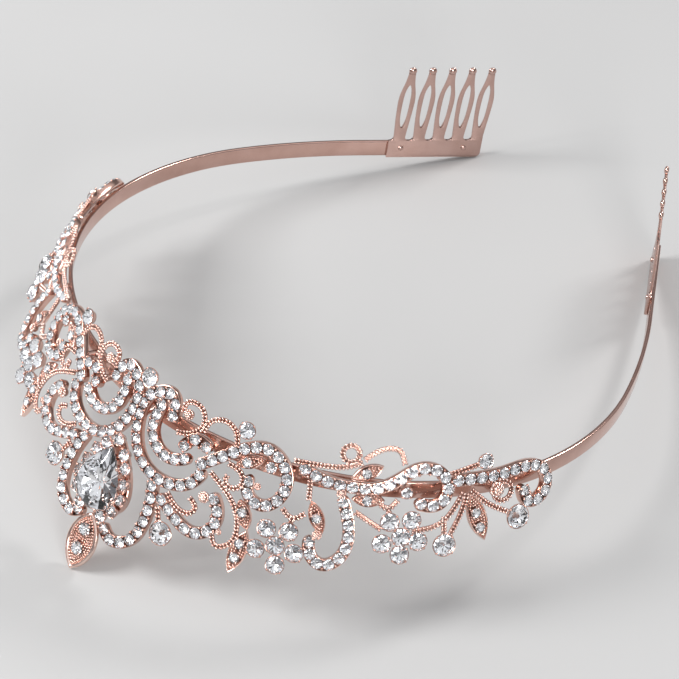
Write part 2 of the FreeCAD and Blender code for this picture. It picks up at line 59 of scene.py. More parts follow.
BAND_HEIGHT, BAND_THICKNESS, BAND_DEPTH, BAND_SLOPE = 4.6, 1.0, 149.4, radians(11.45)
RADII, ARC_LENGTH, END_LENGTH = (77.0, 68.5, 62.0, 71.5, 165.0), 33.8, 34.4
HALF_LENGTH = ARC_LENGTH * len(RADII) + END_LENGTH
STAND_OFF, STAND_OFF_TAPER, LEAN = 4.9, 0.03, radians(23.4)
COMB_TEETH, COMB_PITCH, COMB_THICKNESS, COMB_SPINE, COMB_LENGTH = 5, 5.53, 0.8, 5.2, 26.7
COMB_HEIGHT, COMB_CORNER, TOOTH_MARGIN = 28.0, 1.3, 1.65
COMB_BOW, COMB_BOW_POWER = 2.1, 1.4
COMB_BALL, COMB_BALL_THICKNESS = 2.2, 1.3
NUB_SHARES, NUB_RISE = (0.14, 0.81), 2.9
BAR_HALF, BAR_BACK = 1.4, -1.4
PAVE, PAVE_PITCH, LEAF_STONE, CENTRE_LEAF_STONE = 2.6, 2.8, 2.4, 3.2
CUP_DEPTH = 1.2
TAB_WIDTH, TAB_HEIGHT = 1.5, 1.3
PEAR_WIDTH, PEAR_LENGTH, PEAR_PLACE, PEAR_FRONT, PEAR_CROWN = 13.0, 16.2, 18.1, 3.0, 1.8
COLLAR_INSET, HALO_FRONT, HALO_BORDER = 0.5, 1.6, 0.9

# makes a pear outline as wide as its stated width
PEAR_WIDEST = 0.65

# right half of a comb tooth and of the slot in it: (half width, height above the band's lower edge)
TOOTH = [(1.52, 4.7), (1.6, 6.5), (1.85, 10.0), (2.2, 15.7), (2.15, 19.8), (1.3, 24.0), (0.9, 27.0)]
SLOT = [(0.15, 9.4), (0.55, 10.6), (1.0, 14.5), (1.0, 19.0), (0.45, 22.7), (0.1, 23.5)]

# the band's outer face at the front sets where the tilted plane lies
band_low, band_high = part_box("headband")
FRONT_FACE = BAND_DEPTH + BAND_THICKNESS / 2
BACK = band_low.y / MM + FRONT_FACE * cos(BAND_SLOPE)
LIFT = band_high.z / MM - FRONT_FACE * sin(BAND_SLOPE) - BAND_HEIGHT * cos(BAND_SLOPE)

# --- places on the ornament's right half, (s, t) ----------------------------------------------------

# the mid-line of each casting, from one end to the other
SCROLLS = {
    "inner_scroll": [
        [(8.9, -2.4), (8.4, -5.3), (6.4, -6.9), (3.7, -6.0), (1.7, -4.0), (0.9, -0.6), (1.5, 3.7),
         (4.1, 8.9), (8.2, 11.8), (13.2, 12.2), (17.6, 10.1), (19.1, 7.2)],
    ],
    "outer_scroll": [
        [(5.5, -3.5), (5.0, -0.4), (6.0, 3.8), (9.1, 6.4), (12.3, 6.6), (14.8, 5.2)],
        [(13.9, 2.5), (15.9, -0.1), (18.6, 0.6)],
        [(18.8, 4.6), (23.0, 0.8), (27.2, -2.6), (31.9, -4.0), (35.6, -2.0), (37.4, 1.8),
         (36.3, 6.8), (33.2, 8.9), (30.2, 7.5), (29.7, 4.4)],
    ],
    "lower_loop": [
        [(10.0, 14.6), (10.9, 18.6), (11.0, 23.3), (10.2, 27.6), (7.8, 30.6), (5.5, 31.2), (3.7, 29.7)],
    ],
    "leaf_scroll": [
        [(13.0, 16.4), (17.1, 19.0), (21.0, 20.4), (24.0, 18.9), (25.3, 15.6), (24.9, 13.2), (23.6, 11.1)],
    ],
    "hook_scroll": [
        [(44.4, 14.4), (45.0, 17.4), (47.4, 19.1), (50.0, 17.8), (51.6, 14.4), (51.6, 9.8), (49.7, 4.1)],
    ],
    "garland": [
        [(40.6, -1.9), (45.9, -0.1), (51.2, 0.4), (56.2, 0.1), (61.1, -2.4), (65.4, -4.8), (69.8, -4.0),
         (71.8, -0.5), (69.9, 3.5), (66.0, 3.2)],
    ],
    "end_scroll": [
        [(74.1, -1.7), (79.6, -1.7), (86.0, -1.8), (92.5, -1.8), (96.2, 0.5), (96.5, 3.7), (93.8, 6.6),
         (91.0, 6.4), (90.2, 3.6)],
    ],
}
# the mid-line of each beaded strip
WIRES = [
    [(10.9, -4.6), (11.0, -6.9), (13.4, -7.7), (15.7, -6.4), (16.4, -3.7), (14.4, -0.9), (11.2, 0.3)],
    [(16.9, -2.6), (17.9, -5.4), (21.2, -6.8), (24.1, -5.2), (25.1, -2.3)],
    [(24.6, 2.1), (26.7, 2.6), (28.2, 4.1), (28.0, 6.3), (26.2, 7.2), (24.7, 6.1), (24.9, 4.9)],
    [(13.9, 14.3), (16.5, 16.3), (19.6, 16.4), (20.4, 14.7), (18.8, 13.1)],
    [(21.4, 5.6), (25.0, 8.0), (27.9, 10.8), (29.7, 15.1), (29.0, 19.8), (26.7, 21.2), (25.2, 18.8)],
    [(42.2, 0.6), (42.6, 4.7)],
    [(38.1, -3.2), (44.0, -3.5), (49.4, -4.2), (52.3, -5.4)],
    [(53.0, -6.4), (56.7, -9.0), (60.3, -8.9), (61.7, -6.0)],
    [(75.2, 1.3), (73.8, 3.7), (70.0, 8.1), (64.6, 9.4)],
    [(76.0, 1.6), (75.3, 4.3), (72.6, 10.5)],
    [(77.3, 0.9), (80.7, 4.3), (85.5, 7.4)],
    [(72.4, -3.4), (78.8, -4.9)],
    [(57.0, 3.3), (59.0, 4.4), (60.8, 2.6)],
    [(37.9, 8.3), (40.1, 9.8), (42.3, 8.3)],
    [(52.6, 6.0), (57.9, 9.2)],
    [(40.1, 9.6), (40.0, 11.2)],
    [(59.0, 4.2), (59.3, 5.3)],
    [(12.9, 18.6), (13.9, 21.3)],
    [(71.1, 6.6), (71.2, 10.4)],
]
# s, t and radius
RINGS = [(49.7, -7.2, 1.9), (84.6, 2.3, 2.3)]
DOMES = [(12.6, -4.7, 1.3), (21.6, 11.4, 1.4), (45.6, 12.3, 1.2), (49.0, 2.0, 1.2), (82.9, 1.5, 1.9),
         (31.7, 4.8, 0.9), (26.5, 17.8, 0.8)]
# stalk, tip, width and the places of the crystals
LEAVES = [
    ((25.9, 1.7), (31.9, -1.5), 3.0, [(28.4, 0.3)]),
    ((28.8, 9.0), (31.9, 15.3), 3.6, [(30.1, 11.6)]),
    ((31.9, 15.3), (30.4, 26.2), 4.2, [(31.2, 18.7), (30.9, 22.2)]),
    ((43.1, 5.0), (46.6, 12.1), 3.5, [(44.9, 8.6)]),
    ((50.5, -1.3), (57.2, -5.2), 3.5, [(53.7, -3.2)]),
    ((51.3, 3.0), (58.2, 2.7), 3.4, [(54.5, 2.9)]),
    ((76.8, 1.4), (80.1, 13.1), 4.6, [(78.0, 6.2), (78.9, 9.7)]),
]
CENTRE_LEAF = ((0.0, 28.0), (0.0, 42.95), 8.6, [(0.0, 32.4), (0.0, 37.4)])
# round crystals in cups: a cup's diameter and the places of such cups
ROUNDS = {
    "flower": [
        (4.4, [(38.0, 16.9), (35.6, 13.5), (40.0, 13.0), (34.4, 18.7), (41.9, 17.6), (38.8, 21.2),
               (62.3, 10.9), (59.7, 7.5), (64.2, 7.0), (58.5, 12.6), (65.8, 11.9), (62.3, 15.0)]),
        (2.8, [(33.5, -0.2), (62.7, 0.7)]),
    ],
    "drop": [(5.8, [(15.3, 23.7)]), (5.4, [(71.3, 13.0)]), (5.9, [(88.0, 9.2)])],
    "crown": [(4.1, [(26.3, -6.6)]), (3.7, [(80.6, -5.4)])],
}
# s, t and the cup's diameter
CENTRE_CROWN = (0.0, -7.5, 4.6)
# small cups round the pear and solder blocks behind the castings
HALO = [(0.0, 8.5), (2.65, 11.0), (4.15, 13.7), (5.3, 17.3), (5.9, 20.8), (5.0, 24.2), (2.9, 26.9)]
TABS = [(1.2, 0.9), (14.2, 2.3), (22.4, 1.3), (37.2, 2.0), (48.5, 0.6), (62.0, 0.4), (86.0, 0.0)]

# turns each stone a little, the same way every run
rng = np.random.default_rng(7)

# --- where things are -------------------------------------------------------------------------------


def band_frame(s):
    """The band's mid-line s mm from the front centre: x, y and the heading to the right."""
    x, y, heading, left = 0.0, -BAND_DEPTH, 0.0, abs(s)
    for radius in RADII:
        step = min(left, ARC_LENGTH)
        ahead = heading + step / radius
        x += radius * (sin(ahead) - sin(heading))
        y += radius * (cos(heading) - cos(ahead))
        heading = ahead
        left -= step
    x += left * cos(heading)
    y += left * sin(heading)
    return (x, y, heading) if s >= 0 else (-x, y, -heading)


def band_point(s, out, height):
    """A point out mm outside the band's mid-line and height mm above its lower edge."""
    x, y, heading = band_frame(s)
    return np.array([x + out * sin(heading), y - out * cos(heading), height])


def on_ornament(s, t, proud=0.0):
    """A point of the ornament's surface, or proud mm in front of it."""
    out = STAND_OFF - STAND_OFF_TAPER * abs(s) + t * sin(LEAN) + proud * cos(LEAN)
    return band_point(s, out, BAND_HEIGHT - t * cos(LEAN) + proud * sin(LEAN))


def unit(vector):
    """The vector at length 1, for one vector or for rows of them."""
    return vector / np.linalg.norm(vector, axis=-1, keepdims=True)


UP = np.array([0.0, 0.0, 1.0])


def level_axes(heading):
    """Level directions at a heading of the band: along it to the right, and outwards."""
    return np.array([cos(heading), sin(heading), 0.0]), np.array([sin(heading), -cos(heading), 0.0])


def turned(right, up, angle):
    """Two directions turned by an angle in their own plane."""
    return right * cos(angle) + up * sin(angle), up * cos(angle) - right * sin(angle)


def axes_at(s, t):
    """The ornament's own axes as rows: to the right, up the slope and straight out of it."""
    right, level = level_axes(band_frame(s)[2])
    outward = level * cos(LEAN) + UP * sin(LEAN)
    return np.array([right, np.cross(outward, right), outward])


def ground(points):
    """Band-plane millimetres as metres in the part's own frame."""
    x, y, z = np.asarray(points, float).T
    tilted_y = y * cos(BAND_SLOPE) + z * sin(BAND_SLOPE) + BACK
    tilted_z = z * cos(BAND_SLOPE) - y * sin(BAND_SLOPE) + LIFT
    return np.column_stack([x, tilted_y, tilted_z]) * MM


def second_slopes(knots, values):
    """Second derivatives of the natural cubic spline through values at knots."""
    last = len(knots) - 1
    system, target = np.eye(last + 1), np.zeros(last + 1)
    for i in range(1, last):
        before, after = knots[i] - knots[i - 1], knots[i + 1] - knots[i]
        system[i, i - 1:i + 2] = before, 2 * (before + after), after
        target[i] = 6 * ((values[i + 1] - values[i]) / after - (values[i] - values[i - 1]) / before)
    return np.linalg.solve(system, target)


def smooth(route, steps=12):
    """The natural cubic spline through a route's points, each span cut into steps."""
    knots = [0.0, *accumulate(dist(a, b) for a, b in zip(route, route[1:]))]
    tracks = []
    for values in zip(*route):
        bend = second_slopes(knots, values)
        track = [values[0]]
        for i in range(len(route) - 1):
            late = np.arange(1, steps + 1) / steps
            early = 1 - late
            lift = (early**3 - early) * bend[i] + (late**3 - late) * bend[i + 1]
            gap = knots[i + 1] - knots[i]
            track.extend(early * values[i] + late * values[i + 1] + lift * gap**2 / 6)
        tracks.append(track)
    return np.array(tracks).T


def distances(points):
    """How far along a line of points each of them lies."""
    return np.append(0, np.cumsum(np.linalg.norm(np.diff(points, axis=0), axis=1)))


def stations(route, spacing):
    """Places (s, t) along a route, evenly spaced in real distance, about spacing apart."""
    fine = smooth(route)
    travelled = distances([on_ornament(s, t) for s, t in fine])
    count = max(1, round(travelled[-1] / spacing))
    goals = np.linspace(0, travelled[-1], count + 1)
    return np.column_stack([np.interp(goals, travelled, fine[:, k]) for k in (0, 1)])


def lengthened(route, extra):
    """The route with both its end points moved outwards by extra."""
    ends = []
    for end, inner in ((route[0], route[1]), (route[-1], route[-2])):
        grow = extra / dist(end, inner)
        ends.append(tuple(e + grow * (e - i) for e, i in zip(end, inner)))
    return [ends[0], *route[1:-1], ends[1]]


# --- mesh building ----------------------------------------------------------------------------------


class Shape:
    """Points in band-plane millimetres, faces, and each face's material number."""

    def __init__(self):
        self.points, self.faces, self.tints = [], [], []

    def add(self, points, faces, tint=0):
        """Add points and the faces between them."""
        start = len(self.points)
        self.points.extend(points)
        self.faces.extend(tuple(start + i for i in face) for face in faces)
        self.tints.extend([tint] * len(faces))

    def stamp(self, template, origin, axes, scale=1.0, tint=0):
        """Add a copy of a template drawn about the origin, set on the rows of axes."""
        self.add(list(np.asarray(template.points) * scale @ axes + origin), template.faces, tint)
        if any(template.tints):
            self.tints[-len(template.faces):] = template.tints

    def sweep(self, centres, across, normals, profile, widths=None, tint=0):
        """Add a closed profile carried along centres; widths narrows it at each station."""
        widths = np.ones(len(centres)) if widths is None else widths
        sides, rows = len(profile), len(centres)
        points = [
            centres[i] + across[i] * a * widths[i] + normals[i] * b
            for i in range(rows) for a, b in profile
        ]
        self.add(points, ring_faces(rows, sides), tint)


def ring_faces(rows, sides):
    """The faces of a closed skin over rows of points, capped at both ends."""
    faces = []
    for row in range(rows - 1):
        low, high = row * sides, (row + 1) * sides
        for k in range(sides):
            n = (k + 1) % sides
            faces.append((low + k, low + n, high + n, high + k))
    faces.append(tuple(reversed(range(sides))))
    faces.append(tuple(range((rows - 1) * sides, rows * sides)))
    return faces


def lathe(profile, sides):
    """A template turned about its own Z axis from (radius, height) points, closed on the axis."""
    shape = Shape()
    turns = [2 * pi * k / sides for k in range(sides)]
    points, rows = [], []
    for radius, height in profile:
        if radius == 0:
            rows.append([len(points)] * sides)
            points.append((0, 0, height))
        else:
            rows.append([len(points) + k for k in range(sides)])
            points.extend((radius * cos(a), radius * sin(a), height) for a in turns)
    faces = []
    for lower, upper in zip(rows, rows[1:]):
        for k in range(sides):
            n = (k + 1) % sides
            face = [lower[k], lower[n], upper[n], upper[k]]
            faces.append(tuple(dict.fromkeys(face)))
    shape.add(points, faces)
    return shape


def bead(rings=5, sides=8):
    """A ball of radius 1."""
    turns = [pi * k / rings for k in range(rings + 1)]
    profile = [(0 if k in (0, rings) else sin(turn), -cos(turn)) for k, turn in enumerate(turns)]
    return lathe(profile, sides)


def rounded_box(half_width, low, high, edge, steps=3):
    """A closed profile of a rectangle with rounded corners."""
    corners = [
        (half_width - edge, low + edge, -pi / 2), (half_width - edge, high - edge, 0),
        (edge - half_width, high - edge, pi / 2), (edge - half_width, low + edge, pi),
    ]
    return [
        (x + edge * cos(start + pi / 2 * k / steps), y + edge * sin(start + pi / 2 * k / steps))
        for x, y, start in corners for k in range(steps + 1)
    ]


# the second material of a crystal, and of a leaf or a beaded wire; for a leaf or a wire it is a darker rose
# gold that paints shade into the hollows
FOIL, PAINTED_SHADE = 1, 1


def cut_stone(crown, pavilion, table=0.54, star=0.78, belt=0.06, inner=0.52, sink=0.62):
    """A round brilliant of radius 1 with 16 girdle corners; its back faces are foiled.

    The girdle lies at height 0, the table at belt + crown and the point of the back at -pavilion.
    The corners of the table, of the stars and of the back lie at radii table, star and inner, and
    those of the back sink times the pavilion deep.
    """
    count, mains = 16, 8
    turns = [2 * pi * k / count for k in range(count)]
    girdle = np.array([(cos(a), sin(a), 0.0) for a in turns])
    drop = (1 - star * cos(2 * pi / count)) / (1 - table)
    rings = [
        girdle, girdle + (0, 0, belt), girdle[::2] * table + (0, 0, belt + crown),
        girdle[1::2] * star + (0, 0, belt + crown * drop), girdle[1::2] * inner - (0, 0, sink * pavilion),
    ]
    top, tables, stars, lower = count, 2 * count, 2 * count + mains, 2 * count + 2 * mains
    tip = lower + mains
    shape = Shape()
    crown_faces = [tuple(tables + k for k in range(mains))]
    back_faces = []
    for k in range(count):
        n = (k + 1) % count
        crown_faces.append((k, n, top + n, top + k))
    for k in range(mains):
        n, before = (k + 1) % mains, (k - 1) % mains
        left, middle, right = 2 * k, 2 * k + 1, 2 * n
        crown_faces += [
            (tables + k, stars + k, tables + n), (top + left, top + middle, stars + k),
            (top + middle, top + right, stars + k), (top + left, stars + k, tables + k, stars + before),
        ]
        back_faces += [
            (middle, left, lower + k), (right, middle, lower + k), (left, lower + before, tip, lower + k),
        ]
    shape.add(np.vstack([*rings, [(0, 0, -pavilion)]]), crown_faces)
    shape.faces += back_faces
    shape.tints += [FOIL] * len(back_faces)
    return shape


ROUND_STONE = cut_stone(crown=0.42, pavilion=0.55)
SHALLOW_STONE = cut_stone(crown=0.42, pavilion=0.36)
BEAD = bead()
FINE_BEAD = bead(rings=10, sides=16)

# --- materials --------------------------------------------------------------------------------------

# noise scales, per metre: tone drifts over millimetres, gloss and relief over tenths
TONE_SCALE, GLOSS_SCALE, RELIEF_SCALE = 180.0, 900.0, 1600.0
CRYSTAL_TONE_SCALE, CRYSTAL_GLOSS_SCALE, FOIL_TONE_SCALE = 350.0, 700.0, 500.0
# the relief's depth, in metres
RELIEF_DEPTH = 0.00004
CRYSTAL_IOR = 1.56
# where on the noise a ramp starts and ends
RAMP_ENDS = (0.3, 0.7)


def material(name):
    """A new node material, its node tree and its main shader."""
    made = bpy.data.materials.new(name)
    made.use_nodes = True
    tree = made.node_tree
    return made, tree, tree.nodes["Principled BSDF"]


def noise(tree, scale, detail=3.0):
    """Noise on the object's own coordinates, in metres."""
    coordinates = tree.nodes.new("ShaderNodeTexCoord")
    texture = tree.nodes.new("ShaderNodeTexNoise")
    texture.inputs["Scale"].default_value = scale
    texture.inputs["Detail"].default_value = detail
    tree.links.new(coordinates.outputs["Object"], texture.inputs["Vector"])
    return texture.outputs["Fac"]


def ramp(tree, factor, low, high):
    """A colour that runs from low to high with the factor."""
    made = tree.nodes.new("ShaderNodeValToRGB")
    for stop, position, colour in zip(made.color_ramp.elements, RAMP_ENDS, (low, high)):
        stop.position = position
        stop.color = (*colour, 1.0)
    tree.links.new(factor, made.inputs["Fac"])
    return made.outputs["Color"]


def vary(tree, shader, socket, scale, low, high):
    """Let a colour, or a grey for a plain number, drift between low and high over a surface."""
    tree.links.new(ramp(tree, noise(tree, scale), low, high), shader.inputs[socket])


def bump(tree, shader, height, strength):
    """Fine relief on a shader."""
    made = tree.nodes.new("ShaderNodeBump")
    made.inputs["Strength"].default_value = strength
    made.inputs["Distance"].default_value = RELIEF_DEPTH
    tree.links.new(height, made.inputs["Height"])
    tree.links.new(made.outputs["Normal"], shader.inputs["Normal"])


def metal(name, light, deep, gloss, relief=0.15):
    """Polished plate of uneven tone; gloss is its lowest and highest roughness."""
    made, tree, shader = material(name)
    low, high = gloss
    shader.inputs["Metallic"].default_value = 1.0
    vary(tree, shader, "Base Color", TONE_SCALE, deep, light)
    vary(tree, shader, "Roughness", GLOSS_SCALE, (low,) * 3, (high,) * 3)
    bump(tree, shader, noise(tree, RELIEF_SCALE, 2.0), relief)
    return made


def clear_crystal(name):
    """Clear glass with a faint uneven tint."""
    made, tree, shader = material(name)
    shader.inputs["Transmission Weight"].default_value = 1.0
    shader.inputs["IOR"].default_value = CRYSTAL_IOR
    vary(tree, shader, "Base Color", CRYSTAL_TONE_SCALE, (0.97, 0.98, 1.0), (1.0, 0.99, 0.98))
    vary(tree, shader, "Roughness", CRYSTAL_GLOSS_SCALE, (0.0,) * 3, (0.02,) * 3)
    return made


def foil(name):
    """The silver foil on a crystal's back."""
    made, tree, shader = material(name)
    shader.inputs["Metallic"].default_value = 1.0
    vary(tree, shader, "Base Color", FOIL_TONE_SCALE, (0.95, 0.95, 0.96), (0.99, 0.99, 1.0))
    vary(tree, shader, "Roughness", GLOSS_SCALE, (0.02,) * 3, (0.08,) * 3)
    return made


BAND_METAL = metal("rose_gold_band", (0.64, 0.42, 0.36), (0.57, 0.36, 0.30), (0.12, 0.18), 0.06)
COMB_METAL = metal("rose_gold_comb", (0.60, 0.41, 0.36), (0.53, 0.35, 0.30), (0.16, 0.24), 0.08)
CAST_METAL = metal("rose_gold_casting", (0.78, 0.52, 0.44), (0.60, 0.36, 0.29), (0.14, 0.26))
LEAF_METAL = metal("rose_gold_leaf", (0.92, 0.70, 0.62), (0.78, 0.53, 0.45), (0.18, 0.28))
WIRE_METAL = metal("rose_gold_beading", (0.90, 0.70, 0.63), (0.70, 0.46, 0.39), (0.10, 0.18))
# a darker copy of the rose gold that paints shade into the hollows: a wire's core between its beads, the
# ball under a dome's beads and a leaf's sunk bed
PAINTED_SHADE_METAL = metal("rose_gold_painted_shade", (0.46, 0.26, 0.21), (0.34, 0.18, 0.14), (0.20, 0.30))
STONE_MATERIALS = [clear_crystal("clear_crystal"), foil("crystal_foil")]

# --- pieces -----------------------------------------------------------------------------------------

# edges sharper than this stay sharp on the metal
SHARP_EDGE = radians(38)


def piece(name, shape, materials, flat=False):
    """Make a Blender object that stands for the CAD node of the same name."""
    mesh = bpy.data.meshes.new(name)
    mesh.from_pydata([tuple(p) for p in ground(shape.points)], [], shape.faces)
    for made in materials:
        mesh.materials.append(made)
    mesh.polygons.foreach_set("material_index", shape.tints)
    mesh.polygons.foreach_set("use_smooth", [not flat] * len(mesh.polygons))
    skin = bmesh.new()
    skin.from_mesh(mesh)
    bmesh.ops.recalc_face_normals(skin, faces=skin.faces)
    skin.to_mesh(mesh)
    skin.free()
    if not flat:
        mesh.set_sharp_from_angle(angle=SHARP_EDGE)
    mesh.update()
    made = bpy.data.objects.new(f"{name}_look", mesh)
    bpy.context.scene.collection.objects.link(made)
    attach(made, "root")
    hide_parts(name)


def both(name, shape, materials, flat=False):
    """A right-hand piece and its mirror image."""
    piece(f"{name}_right", shape, materials, flat)
    twin = Shape()
    twin.points = np.array(shape.points) * (-1, 1, 1)
    twin.faces, twin.tints = shape.faces, shape.tints
    piece(f"{name}_left", twin, materials, flat)


def route_frames(places):
    """Centres, across directions and normals at places along a route."""
    centres = np.array([on_ornament(s, t) for s, t in places])
    normals = np.array([axes_at(s, t)[2] for s, t in places])
    across = unit(np.cross(np.gradient(centres, axis=0), normals))
    return centres, across, normals


def twisted(axes):
    """The same axes turned a random little about the outward one, so that stones differ."""
    right, up, out = axes
    return np.array([*turned(right, up, rng.uniform(0, pi / 4)), out])


def corner_turns(count):
    """Angles of evenly spaced corners, the first half a step round."""
    return [pi / count + 2 * pi / count * k for k in range(count)]


def set_stone(shape, template, s, t, diameter, seat):
    """Put a round stone on the ornament with its girdle seat mm proud."""
    shape.stamp(template, on_ornament(s, t, seat), twisted(axes_at(s, t)), diameter / 2)


BAND_EDGE, BAND_STATIONS = 0.3, 260


def make_headband():
    """The bent strip, its long edges rolled."""
    shape = Shape()
    places = np.linspace(-HALF_LENGTH, HALF_LENGTH, BAND_STATIONS)
    centres = np.array([band_point(s, 0, 0) for s in places])
    outward = np.array([level_axes(band_frame(s)[2])[1] for s in places])
    profile = rounded_box(BAND_THICKNESS / 2, 0, BAND_HEIGHT, BAND_EDGE, 4)
    shape.sweep(centres, outward, [UP] * len(places), profile)
    piece("headband", shape, [BAND_METAL])


BAR_TOP, BAR_WALL, BAR_FLOOR, BAR_EDGE = 0.22, 0.28, -0.9, 0.12
BAR_STATION, BAR_TIP = 0.4, 0.98


def bar_profile():
    """A channel: rounded outer corners, thin walls and a floor that the stones' points clear."""
    half, back = BAR_HALF, BAR_BACK
    inner = half - BAR_WALL
    right = [
        (half - 2 * BAR_EDGE, back), (half - 0.6 * BAR_EDGE, back + 0.6 * BAR_EDGE),
        (half, back + 2 * BAR_EDGE),
        (half, BAR_TOP - BAR_EDGE), (half - 0.3 * BAR_EDGE, BAR_TOP - 0.3 * BAR_EDGE),
        (half - BAR_EDGE, BAR_TOP), (inner + 0.3 * BAR_EDGE, BAR_TOP), (inner, BAR_TOP - 0.5 * BAR_EDGE),
        (inner, BAR_FLOOR),
    ]
    return right + [(-a, b) for a, b in reversed(right)]


def add_bar(shape, route):
    """One channel casting with round ends."""
    centres, across, normals = route_frames(stations(lengthened(route, BAR_HALF), BAR_STATION))
    travelled = distances(centres)
    to_end = np.minimum(travelled, travelled[-1] - travelled)
    short = np.clip(1 - to_end / BAR_HALF, 0, BAR_TIP)
    shape.sweep(centres, across, normals, bar_profile(), np.sqrt(1 - short**2))


PRONG, PRONG_OUT, END_PRONG_OUT, PRONG_PROUD = 0.34, 1.08, 0.9, 0.42
PAVE_SEAT = 0.3


def add_prongs(shape, places):
    """Pairs of small beads between neighbouring stones of a row, and round its two ends."""
    centres, across, normals = route_frames(places)
    along = unit(np.cross(normals, across))
    spots = []
    for i in range(len(places) - 1):
        middle = (centres[i] + centres[i + 1]) / 2
        side = across[i] + across[i + 1]
        spots += [middle + unit(side) * PRONG_OUT * k + normals[i] * PRONG_PROUD for k in (-1, 1)]
    for i, away in ((0, -1), (-1, 1)):
        for k in (-1, 1):
            beside = (along[i] * away + across[i] * k) * END_PRONG_OUT
            spots.append(centres[i] + beside + normals[i] * PRONG_PROUD)
    for spot in spots:
        shape.stamp(BEAD, spot, np.eye(3), PRONG)


def make_scrolls():
    """Castings with a row of stones held by shared beads."""
    for name, routes in SCROLLS.items():
        bars, stones = Shape(), Shape()
        for route in routes:
            places = stations(route, PAVE_PITCH)
            add_bar(bars, route)
            add_prongs(bars, places)
            for s, t in places:
                set_stone(stones, ROUND_STONE, s, t, PAVE, PAVE_SEAT)
        both(name, bars, [CAST_METAL])
        both(f"{name}_crystals", stones, STONE_MATERIALS, flat=True)


STRIP_CORE, STRIP_BACK, STRIP_FRONT, STRIP_EDGE = 0.55, -0.35, -0.05, 0.12
STRIP_BEAD, STRIP_BEAD_OUT, STRIP_BEAD_PROUD, STRIP_PITCH = 0.36, 0.38, 0.1, 0.84


def add_beaded_strip(shape, centres, across, normals):
    """A flat wire with a row of fine beads down each side."""
    core = rounded_box(STRIP_CORE, STRIP_BACK, STRIP_FRONT, STRIP_EDGE)
    # the core between the bead rows takes the darker rose gold, painted shade between the beads
    shape.sweep(centres, across, normals, core, tint=PAINTED_SHADE)
    for side in (-STRIP_BEAD_OUT, STRIP_BEAD_OUT):
        for centre, sideways, normal in zip(centres, across, normals):
            spot = centre + sideways * side + normal * STRIP_BEAD_PROUD
            shape.stamp(BEAD, spot, np.eye(3), STRIP_BEAD)


# a dome's ball and beads as shares of its radius, and its rings: share of the ball and beads in it
DOME_BALL, DOME_BEAD, DOME_FALL = 0.8, 0.26, 0.9
DOME_RINGS = ((0.0, 1), (0.5, 6), (0.95, 11))


def add_dome(shape, s, t, radius):
    """A low ball covered with rings of beads."""
    axes, middle, ball = axes_at(s, t), on_ornament(s, t), DOME_BALL * radius
    # the ball under the beads takes the darker rose gold, painted shade between the beads
    shape.stamp(FINE_BEAD, middle, axes, ball, PAINTED_SHADE)
    for ring, (share, count) in enumerate(DOME_RINGS):
        rise = sqrt(1 - DOME_FALL * share**2)
        for k in range(count):
            turn = 2 * pi * (k + ring / 2) / count
            offset = np.array([share * cos(turn), share * sin(turn), rise]) * ball
            shape.stamp(BEAD, middle + offset @ axes, np.eye(3), DOME_BEAD * radius)


def make_wires():
    """Beaded strips, rings of the same strip, and beaded domes."""
    shape = Shape()
    for route in WIRES:
        add_beaded_strip(shape, *route_frames(stations(route, STRIP_PITCH)))
    for s, t, radius in RINGS:
        right, up, out = axes_at(s, t)
        turns = np.linspace(0, 2 * pi, round(2 * pi * radius / STRIP_PITCH) + 1)
        outward = np.array([turned(right, up, turn)[0] for turn in turns])
        centres = on_ornament(s, t) + outward * radius
        add_beaded_strip(shape, centres, outward, np.tile(out, (len(turns), 1)))
    for s, t, radius in DOMES:
        add_dome(shape, s, t, radius)
    both("beaded_wires", shape, [WIRE_METAL, PAINTED_SHADE_METAL])


def lens_point(length, width, inset, share):
    """A point of a pointed leaf outline; share runs 0 to 1 from the stalk round the tip and back."""
    half, side = length / 2, width / 2
    full = (half**2 + side**2) / (2 * side)
    radius, away = full - inset, full - side
    reach = np.arccos(away / radius)
    swing = reach * (4 * share - 1) if share <= 0.5 else reach * (3 - 4 * share)
    across, along = radius * cos(swing) - away, radius * sin(swing)
    return np.array([across if share <= 0.5 else -across, half + along])


LEAF_CORNERS, LEAF_SEAT = 48, 0.62
RIM_SHARE, BED_BEAD, BED_PITCH, BED_PROUD = 0.11, 0.27, 0.64, 0.06
BED_RIM_GAP, BED_MIDDLE, BED_FILL = 0.36, 0.15, 2.1
LEAF_CLAWS, CLAW, CLAW_SHARE, CLAW_PROUD = 4, 0.32, 0.49, 0.55


